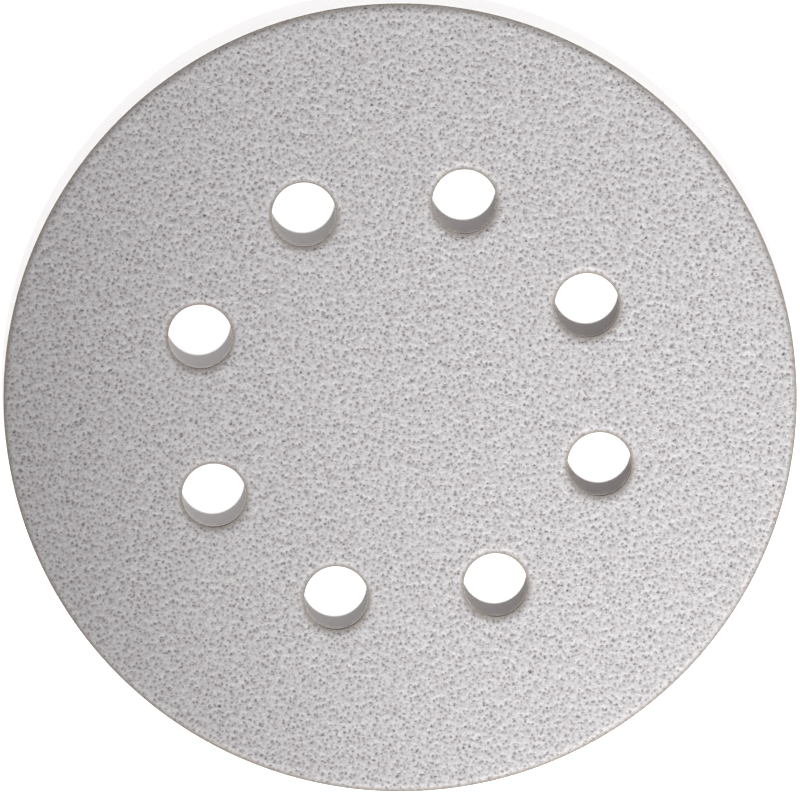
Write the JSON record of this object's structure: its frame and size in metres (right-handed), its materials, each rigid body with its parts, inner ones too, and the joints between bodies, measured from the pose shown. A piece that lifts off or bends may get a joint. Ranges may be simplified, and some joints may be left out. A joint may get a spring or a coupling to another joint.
{
  "type": "sanding disc",
  "caption": "Round coarse-grit sanding disc with a ring of dust holes and a loop-fabric back that grips a sander's pad.",
  "frame": {"origin": "centre of the loop face, in its plane", "axes": "+Z out of the grit face, +X through the centre of one dust hole"},
  "size_m": [0.123, 0.123, 0.0018],
  "materials": {
    "coated_abrasive": "matte"
  },
  "bodies": {
    "root": {"sanding_disc": "coated_abrasive"}
  },
  "joints": []
}
